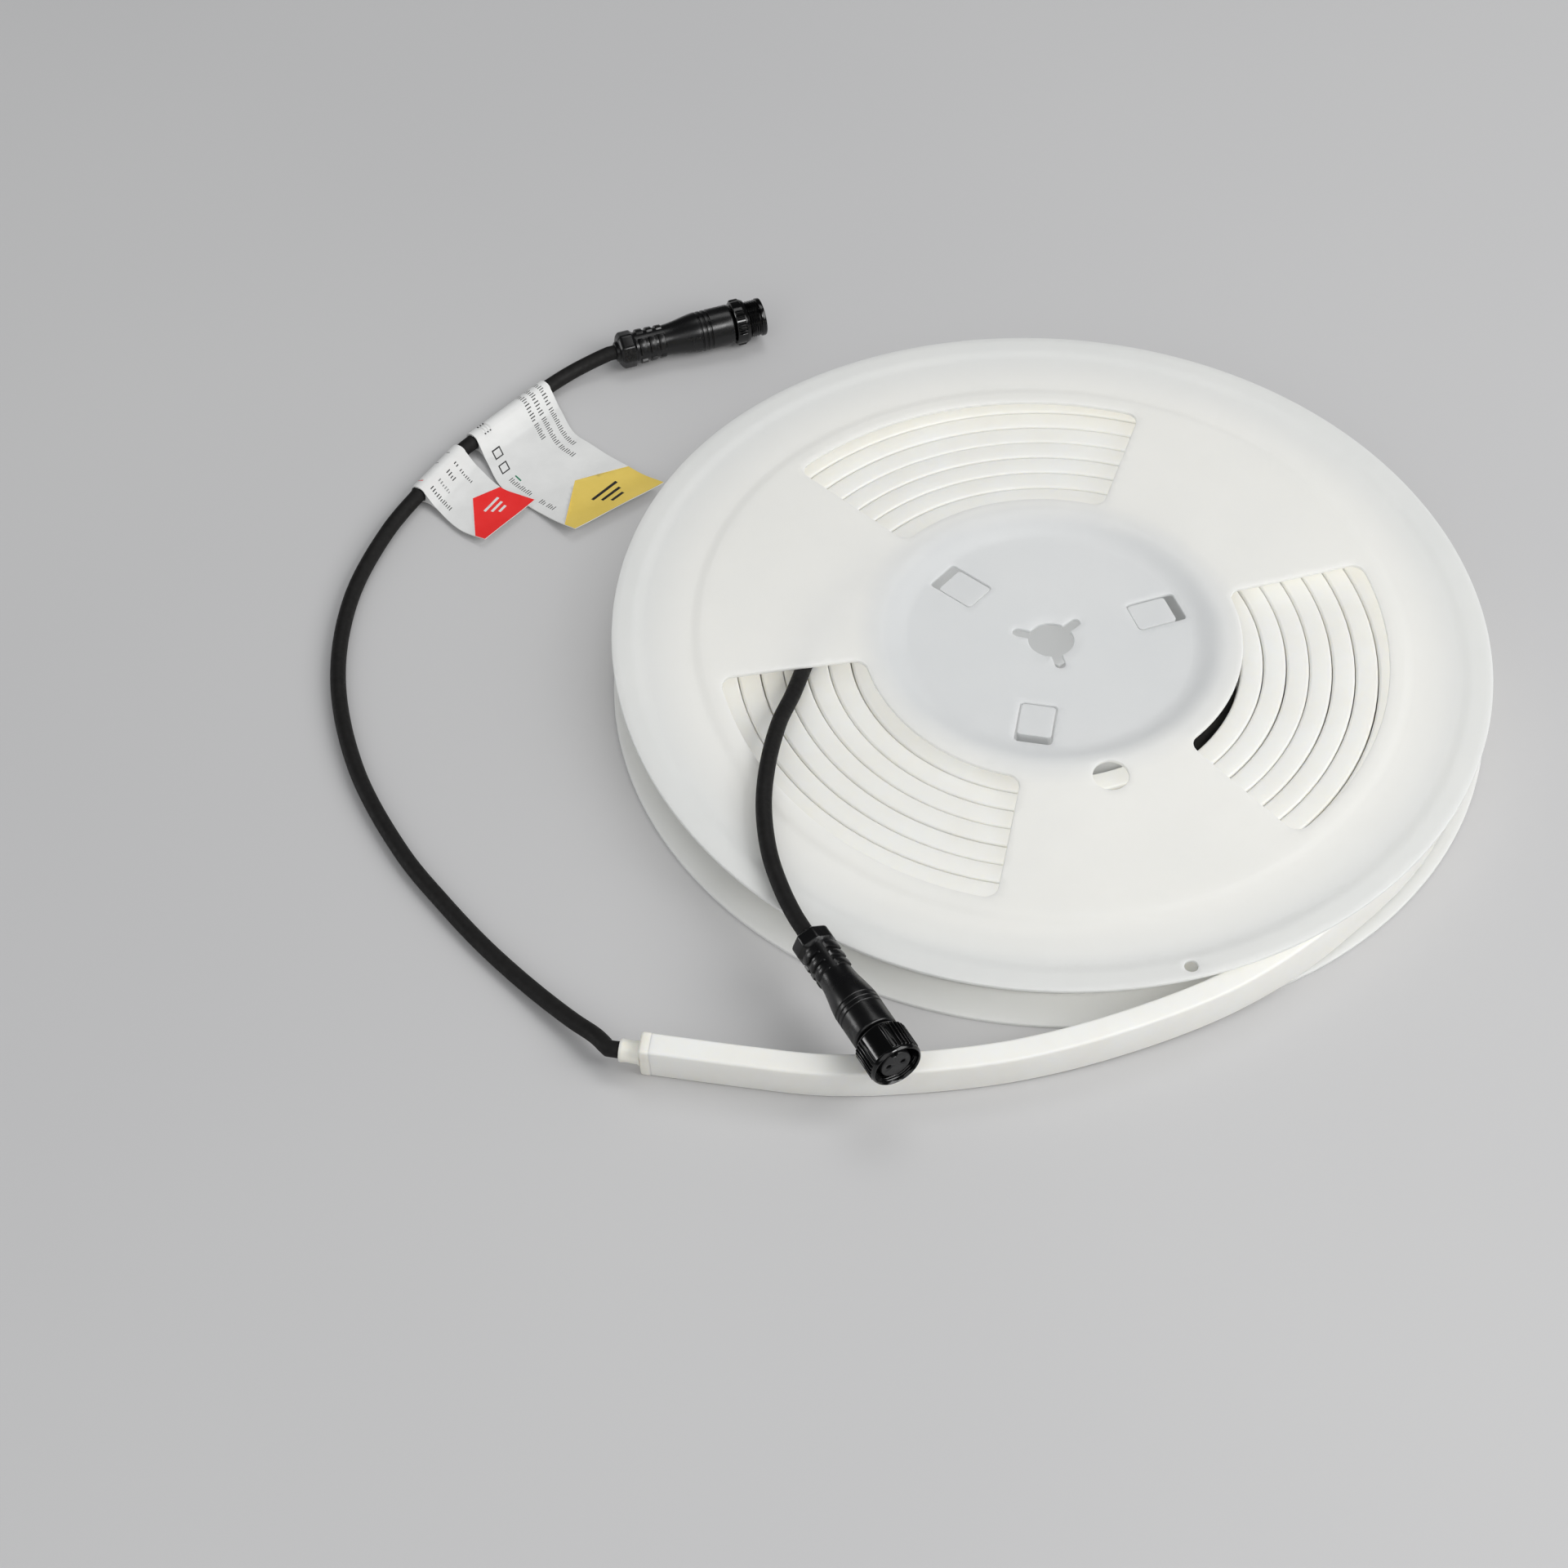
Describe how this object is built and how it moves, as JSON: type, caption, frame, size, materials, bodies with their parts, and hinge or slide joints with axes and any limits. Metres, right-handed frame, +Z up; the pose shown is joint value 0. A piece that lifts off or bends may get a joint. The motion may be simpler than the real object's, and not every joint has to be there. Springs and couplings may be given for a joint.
{
  "type": "neon flex strip",
  "caption": "Side-lit neon flex strip wound in turns on a two-part windowed reel, with a capped free end, a plug lead, a socket lead and flag labels.",
  "frame": {"origin": "middle of the reel and strip's bounding box, on the surface the reel lies on", "axes": "+Z up through the reel's hub, +Y away from the strip's free run, +X to the right of the viewer"},
  "size_m": [0.3056, 0.2863, 0.0267],
  "materials": {
    "reel_plastic": "milky satin",
    "strip_silicone": "satin diffuser",
    "cap_silicone": "cloudy satin",
    "cable_jacket": "matte",
    "moulding_black": "satin gloss",
    "insert_black": "matte",
    "label_paper": "coated paper",
    "contact_brass": "bright"
  },
  "bodies": {
    "strip_on_reel": {"reel_lower_half": "reel_plastic", "reel_upper_half": "reel_plastic", "neon_strip": "strip_silicone", "inner_end_cap": "cap_silicone", "outer_end_cap": "cap_silicone", "plug_lead": "cable_jacket", "socket_lead": "cable_jacket", "type_label": "label_paper", "tone_label": "label_paper", "plug_moulding": "moulding_black", "plug_contact_carrier": "insert_black", "plug_pin_a": "contact_brass", "plug_pin_b": "contact_brass", "socket_moulding": "moulding_black", "socket_contact_carrier": "insert_black", "socket_contact_a": "contact_brass", "socket_contact_b": "contact_brass"},
    "plug_collar": {"plug_screw_collar": "moulding_black"},
    "socket_coupling": {"socket_nut": "moulding_black"}
  },
  "joints": [
    {"name": "plug_collar_spin", "type": "hinge", "parent": "strip_on_reel", "child": "plug_collar", "pos_m": [-0.118, 0.1344, 0.0058], "axis": [0.9467, 0.3207, 0.031], "continuous": true},
    {"name": "socket_nut_spin", "type": "hinge", "parent": "strip_on_reel", "child": "socket_coupling", "pos_m": [-0.0634, -0.0908, 0.019], "axis": [0.4669, -0.8841, 0.0203], "continuous": true}
  ]
}
